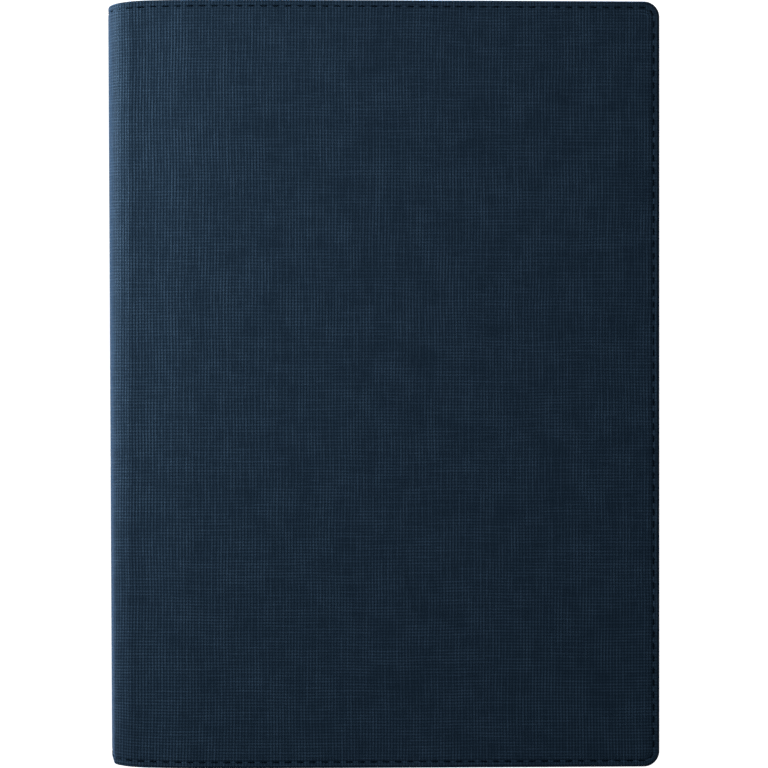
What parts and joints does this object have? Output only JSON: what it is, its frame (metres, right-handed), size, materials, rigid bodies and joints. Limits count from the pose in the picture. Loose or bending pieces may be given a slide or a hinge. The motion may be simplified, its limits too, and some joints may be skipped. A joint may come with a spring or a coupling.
{
  "type": "pilot logbook",
  "caption": "Shut portrait logbook: a sewn block of pages whose card covers slide into a stitched leatherette case that opens flat.",
  "frame": {"origin": "middle of the underside of the shut book, on the face it lies on", "axes": "+Z out of the front cover, +Y towards the head, +X from the spine towards the fore-edge"},
  "size_m": [0.1554, 0.216, 0.019],
  "materials": {
    "leatherette": "embossed crosshatch, semi-matt",
    "thread": "dark polyester thread",
    "lining": "matt woven",
    "greyboard": "grey board",
    "card": "matt dyed card",
    "paper": "uncoated",
    "endpaper": "uncoated",
    "mull": "open cotton cloth"
  },
  "bodies": {
    "back_cover": {"back_skin": "leatherette", "back_board": "greyboard", "back_lining": "lining", "back_sleeve": "lining", "back_card_cover": "card", "back_endpaper": "endpaper", "back_seam": "thread", "lower_mull": "mull", "section_01": "paper", "section_02": "paper", "section_03": "paper", "section_04": "paper", "section_05": "paper", "section_06": "paper"},
    "upper_sections": {"section_07": "paper", "section_08": "paper", "section_09": "paper", "section_10": "paper", "section_11": "paper", "section_12": "paper", "upper_mull": "mull", "front_endpaper": "endpaper"},
    "spine": {"spine_skin": "leatherette", "spine_stiffener": "greyboard", "spine_lining": "lining", "spine_seam": "thread"},
    "front_joint": {"joint_skin": "leatherette", "joint_lining": "lining", "joint_seam": "thread"},
    "front_cover": {"front_skin": "leatherette", "front_board": "greyboard", "front_lining": "lining", "front_sleeve": "lining", "front_card_cover": "card", "front_seam": "thread"}
  },
  "joints": [
    {"name": "middle_opening", "type": "hinge", "parent": "back_cover", "child": "upper_sections", "pos_m": [-0.07345, 0, 0.0095], "axis": [0, -1, 0], "range_deg": [0, 180]},
    {"name": "back_crease", "type": "hinge", "parent": "back_cover", "child": "spine", "pos_m": [-0.07545, 0, 0.0023], "axis": [0, -1, 0], "range_deg": [0, 90]},
    {"name": "front_crease", "type": "hinge", "parent": "spine", "child": "front_joint", "pos_m": [-0.07545, 0, 0.0167], "axis": [0, -1, 0], "range_deg": [0, 90]},
    {"name": "cover_opening", "type": "hinge", "parent": "front_joint", "child": "front_cover", "pos_m": [-0.06675, 0, 0.0193], "axis": [0, -1, 0], "range_deg": [0, 180]}
  ],
  "couplings": [
    {"joint": "back_crease", "follows": "middle_opening", "ratio": 0.5},
    {"joint": "front_crease", "follows": "middle_opening", "ratio": 0.5}
  ]
}
